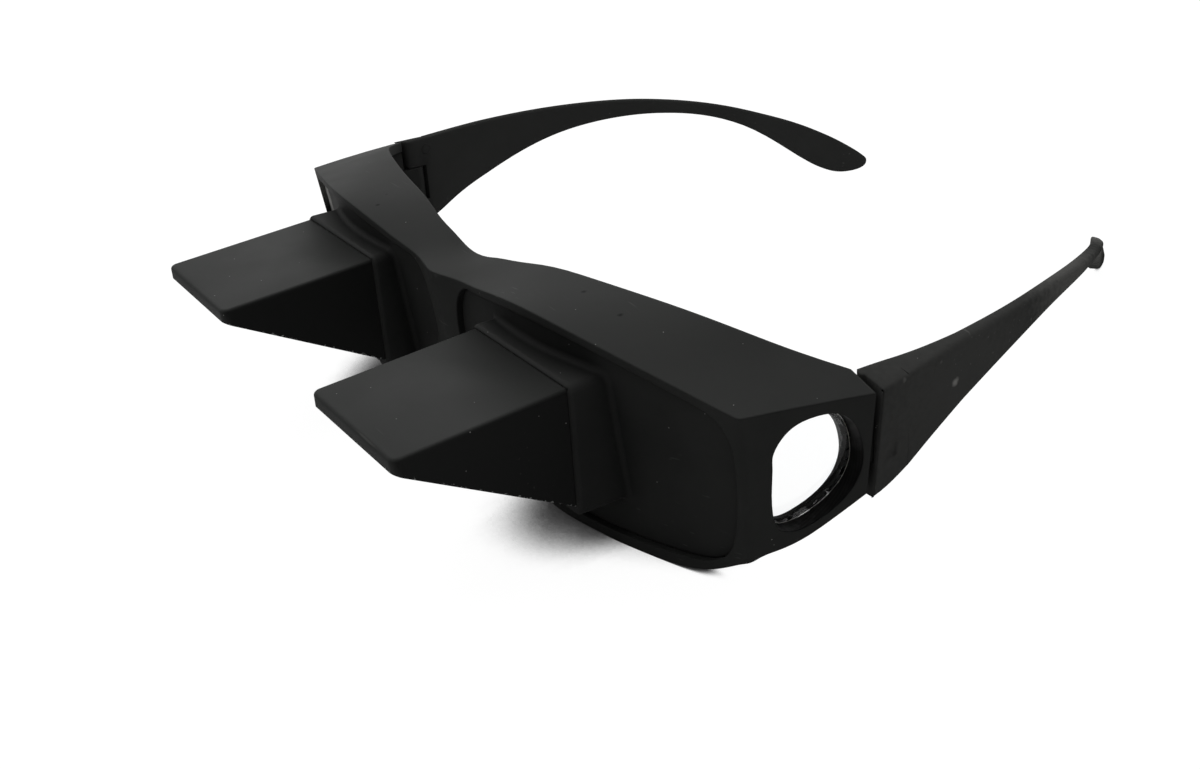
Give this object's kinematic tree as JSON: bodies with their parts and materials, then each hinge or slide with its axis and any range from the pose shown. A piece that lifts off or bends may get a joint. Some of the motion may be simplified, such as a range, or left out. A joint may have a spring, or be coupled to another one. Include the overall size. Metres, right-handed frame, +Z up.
{
  "type": "prism bed glasses",
  "caption": "Matt black fit-over spectacle frame with two forward prism wedges, for reading or viewing while lying flat; both temples fold.",
  "frame": {"origin": "middle of the bounding box, on the surface that the lower rims and the temple tips stand on", "axes": "+X to the wearer's left, -Y the way the wearer looks and the prisms point, +Z up; the front is turned 5.1 degrees about X so that rims and tips stand level"},
  "size_m": [0.1614, 0.1654, 0.0402],
  "materials": {
    "frame_plastic": "matt, fine grain",
    "prism_body": "clear acrylic, top, sides and front edge painted matt black",
    "clear_pane": "clear",
    "pin_steel": "plain"
  },
  "bodies": {
    "front": {"frame": "frame_plastic", "front_plate_left": "frame_plastic", "front_plate_right": "frame_plastic", "prism_left": "prism_body", "prism_right": "prism_body", "side_pane_left": "clear_pane", "side_pane_right": "clear_pane"},
    "temple_left": {"temple_left": "frame_plastic", "hinge_pin_left": "pin_steel"},
    "temple_right": {"temple_right": "frame_plastic", "hinge_pin_right": "pin_steel"}
  },
  "joints": [
    {"name": "temple_left_fold", "type": "hinge", "parent": "front", "child": "temple_left", "pos_m": [0.0765, -0.01684, 0.02132], "axis": [0, 0.0891, 0.996], "range_deg": [0, 80]},
    {"name": "temple_right_fold", "type": "hinge", "parent": "front", "child": "temple_right", "pos_m": [-0.0765, -0.01684, 0.02132], "axis": [0, -0.0891, -0.996], "range_deg": [0, 72]}
  ]
}
